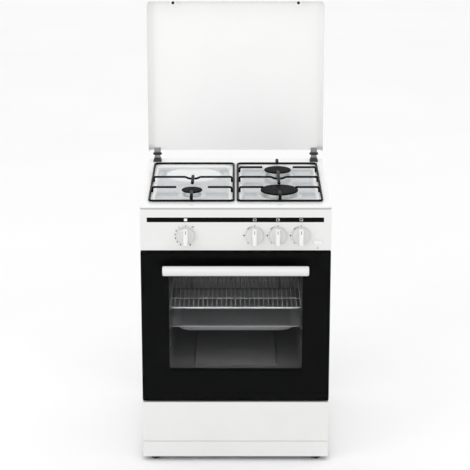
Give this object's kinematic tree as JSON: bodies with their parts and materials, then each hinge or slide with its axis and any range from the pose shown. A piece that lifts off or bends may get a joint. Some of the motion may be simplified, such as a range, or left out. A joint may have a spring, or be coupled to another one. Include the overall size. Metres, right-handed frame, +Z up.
{
  "type": "freestanding gas range",
  "caption": "Freestanding white gas range with gas burners, lift-off pan supports, fold-down hob lid, drop-down glass oven door, knobs and a storage drawer.",
  "frame": {"origin": "on the floor, under the middle of the overall box, with the lid standing open", "axes": "+Z up, -Y towards the user, +X to the right as seen from the front"},
  "size_m": [0.597, 0.648, 1.408],
  "materials": {
    "white_enamel": "gloss white vitreous enamel on steel",
    "grey_enamel": "dark grey enamel on steel",
    "black_enamel": "matt black enamel on steel",
    "galvanised": "zinc-coated sheet steel",
    "polished_steel": "bright nickel-chrome plate",
    "cast_aluminium": "cast aluminium",
    "brass": "machined brass",
    "dark_glass": "black-tinted toughened glass",
    "clear_glass": "clear toughened glass",
    "white_plastic": "glossy white heat-resistant plastic",
    "black_plastic": "black moulded plastic",
    "rubber": "black rubber",
    "ceramic": "glazed alumina"
  },
  "bodies": {
    "casing": {"side_panel_left": "white_enamel", "drawer_runner_left": "galvanised", "door_hinge_arm_left": "polished_steel", "lid_hinge_base_left": "black_plastic", "side_panel_right": "white_enamel", "drawer_runner_right": "galvanised", "door_hinge_arm_right": "polished_steel", "lid_hinge_base_right": "black_plastic", "foot_front_left": "rubber", "foot_front_right": "rubber", "foot_rear_left": "rubber", "foot_rear_right": "rubber", "rear_panel": "galvanised", "base_pan": "galvanised", "plinth": "white_enamel", "terminal_box": "black_plastic", "oven_liner": "grey_enamel", "oven_floor_plate": "grey_enamel", "oven_burner": "polished_steel", "grill_burner": "polished_steel", "oven_lamp_lens": "clear_glass", "thermostat_probe": "polished_steel", "wire_shelf": "polished_steel", "baking_tray": "grey_enamel", "door_seal": "rubber", "hob_top": "white_enamel", "control_panel": "white_enamel", "gas_rail": "brass", "gas_inlet": "galvanised", "burner_body_front_left": "cast_aluminium", "burner_cap_front_left": "black_enamel", "spark_electrode_front_left": "ceramic", "burner_body_rear_right": "cast_aluminium", "burner_cap_rear_right": "black_enamel", "spark_electrode_rear_right": "ceramic", "burner_body_front_right": "cast_aluminium", "burner_cap_front_right": "black_enamel", "spark_electrode_front_right": "ceramic"},
    "lid": {"lid_panel": "white_enamel", "lid_hinge_leaf_left": "polished_steel", "lid_hinge_leaf_right": "polished_steel", "lid_bumper_left": "rubber", "lid_bumper_right": "rubber"},
    "door": {"door_glass": "dark_glass", "door_frame": "galvanised", "door_inner_glass": "clear_glass", "door_handle": "white_plastic"},
    "drawer": {"drawer_front": "white_enamel", "drawer_box": "galvanised"},
    "left_pan_support": {"pan_support_left": "black_enamel"},
    "right_pan_support": {"pan_support_right": "black_enamel"},
    "button": {"ignition_button": "white_plastic"},
    "oven_spindle": {"tap_spindle_oven": "brass"},
    "oven_knob": {"knob_oven": "white_plastic"},
    "front_left_spindle": {"tap_spindle_front_left": "brass"},
    "front_left_knob": {"knob_front_left": "white_plastic"},
    "rear_right_spindle": {"tap_spindle_rear_right": "brass"},
    "rear_right_knob": {"knob_rear_right": "white_plastic"},
    "front_right_spindle": {"tap_spindle_front_right": "brass"},
    "front_right_knob": {"knob_front_right": "white_plastic"}
  },
  "joints": [
    {"name": "lid_hinge", "type": "hinge", "parent": "casing", "child": "lid", "pos_m": [0, 0.29, 0.882], "axis": [-1, 0, 0], "range_deg": [-90, 0]},
    {"name": "door_hinge", "type": "hinge", "parent": "casing", "child": "door", "pos_m": [0, -0.268, 0.216], "axis": [1, 0, 0], "range_deg": [0, 90], "stiffness_Nm_per_rad": 6, "springref_deg": -17.19},
    {"name": "drawer_slide", "type": "slide", "parent": "casing", "child": "drawer", "axis": [0, -1, 0], "range_m": [0, 0.4]},
    {"name": "left_pan_support_lift", "type": "slide", "parent": "casing", "child": "left_pan_support", "axis": [0, 0, 1], "range_m": [0, 0.12]},
    {"name": "right_pan_support_lift", "type": "slide", "parent": "casing", "child": "right_pan_support", "axis": [0, 0, 1], "range_m": [0, 0.12]},
    {"name": "ignition_button_push", "type": "slide", "parent": "casing", "child": "button", "axis": [0, 1, 0], "range_m": [0, 0.003], "stiffness_N_per_m": 500, "springref_m": -0.002},
    {"name": "oven_knob_push", "type": "slide", "parent": "casing", "child": "oven_spindle", "axis": [0, 1, 0], "range_m": [0, 0.004], "stiffness_N_per_m": 500, "springref_m": -0.002},
    {"name": "oven_knob_turn", "type": "hinge", "parent": "oven_spindle", "child": "oven_knob", "pos_m": [-0.156, -0.276, 0.762], "axis": [0, -1, 0], "range_deg": [-40, 235]},
    {"name": "front_left_knob_push", "type": "slide", "parent": "casing", "child": "front_left_spindle", "axis": [0, 1, 0], "range_m": [0, 0.004], "stiffness_N_per_m": 500, "springref_m": -0.002},
    {"name": "front_left_knob_turn", "type": "hinge", "parent": "front_left_spindle", "child": "front_left_knob", "pos_m": [0.059, -0.276, 0.762], "axis": [0, -1, 0], "range_deg": [0, 150]},
    {"name": "rear_right_knob_push", "type": "slide", "parent": "casing", "child": "rear_right_spindle", "axis": [0, 1, 0], "range_m": [0, 0.004], "stiffness_N_per_m": 500, "springref_m": -0.002},
    {"name": "rear_right_knob_turn", "type": "hinge", "parent": "rear_right_spindle", "child": "rear_right_knob", "pos_m": [0.1315, -0.276, 0.762], "axis": [0, -1, 0], "range_deg": [0, 150]},
    {"name": "front_right_knob_push", "type": "slide", "parent": "casing", "child": "front_right_spindle", "axis": [0, 1, 0], "range_m": [0, 0.004], "stiffness_N_per_m": 500, "springref_m": -0.002},
    {"name": "front_right_knob_turn", "type": "hinge", "parent": "front_right_spindle", "child": "front_right_knob", "pos_m": [0.204, -0.276, 0.762], "axis": [0, -1, 0], "range_deg": [0, 150]}
  ]
}
